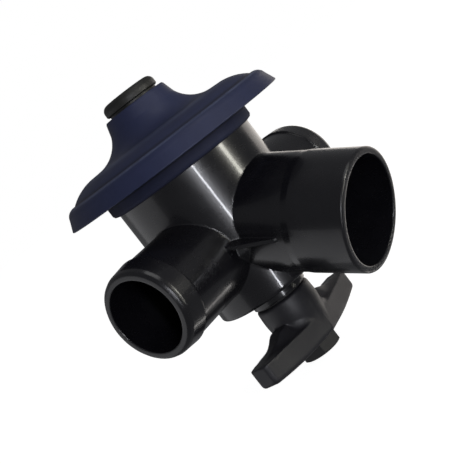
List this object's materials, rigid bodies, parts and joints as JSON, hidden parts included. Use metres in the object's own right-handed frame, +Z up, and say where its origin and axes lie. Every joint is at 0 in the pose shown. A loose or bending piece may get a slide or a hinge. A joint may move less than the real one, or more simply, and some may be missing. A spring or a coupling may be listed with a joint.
{
  "type": "diaphragm valve",
  "caption": "Three-port diaphragm valve with in-line run spigots, a larger inclined outlet, a wide blue bonnet cover with a bleed button, and a T-handle below.",
  "frame": {"origin": "where the run axis between the two small spigots crosses the valve axis", "axes": "+Z up the valve axis to the bonnet cover, Y along the run, +X towards the inclined outlet"},
  "size_m": [0.1289, 0.14, 0.14],
  "materials": {
    "body_black": "moulded, glossy black",
    "cover_blue": "moulded satin navy blue",
    "handle_charcoal": "moulded satin charcoal",
    "cap_nut_black": "moulded black",
    "button_rubber": "soft matt rubber",
    "seal_rubber": "smooth black rubber",
    "diaphragm_rubber": "fabric reinforced rubber",
    "guide_plastic": "natural acetal",
    "gland_brass": "turned brass",
    "clip_steel": "stamped spring steel",
    "spindle_steel": "turned stainless steel",
    "seat_steel": "turned stainless steel",
    "plate_steel": "pressed stainless steel",
    "spring_steel": "drawn stainless wire"
  },
  "bodies": {
    "housing": {"valve_body": "body_black", "seat_ring": "seat_steel", "gland_o_rings": "seal_rubber", "gland_spacer": "guide_plastic", "gland_nut": "gland_brass", "handle_thrust_washer": "cap_nut_black", "handle_retaining_clip": "clip_steel", "bonnet_cover": "cover_blue", "slip_ring": "guide_plastic", "spring_seat": "guide_plastic", "button_bush": "guide_plastic"},
    "handle": {"t_handle": "handle_charcoal", "handle_thread_insert": "gland_brass", "handle_cap_nut": "cap_nut_black"},
    "spindle": {"lift_spindle": "spindle_steel", "anti_rotation_pin": "spindle_steel", "seat_washer_retainer": "spindle_steel", "seat_washer": "seal_rubber", "diaphragm_lower_plate": "plate_steel", "diaphragm": "diaphragm_rubber", "diaphragm_upper_plate": "plate_steel", "diaphragm_lock_washer": "clip_steel", "diaphragm_nut": "spindle_steel", "closing_spring": "spring_steel"},
    "bleed_button": {"button_cap": "button_rubber", "button_stem": "spindle_steel", "vent_seal": "seal_rubber", "button_clip": "clip_steel", "button_spring": "spring_steel"}
  },
  "joints": [
    {"name": "handle_turn", "type": "hinge", "parent": "housing", "child": "handle", "pos_m": [0, 0, -0.05], "axis": [0, 0, -1], "range_deg": [0, 360]},
    {"name": "spindle_lift", "type": "slide", "parent": "housing", "child": "spindle", "axis": [0, 0, 1], "range_m": [0, 0.005], "deforming": ["closing_spring", "diaphragm"]},
    {"name": "bleed_button_press", "type": "slide", "parent": "housing", "child": "bleed_button", "axis": [0, 0, -1], "range_m": [0, 0.003], "stiffness_N_per_m": 400, "springref_m": -0.001, "deforming": ["button_spring"]}
  ],
  "couplings": [
    {"joint": "handle_turn", "follows": "spindle_lift", "rad_per_m": 1256.6}
  ]
}
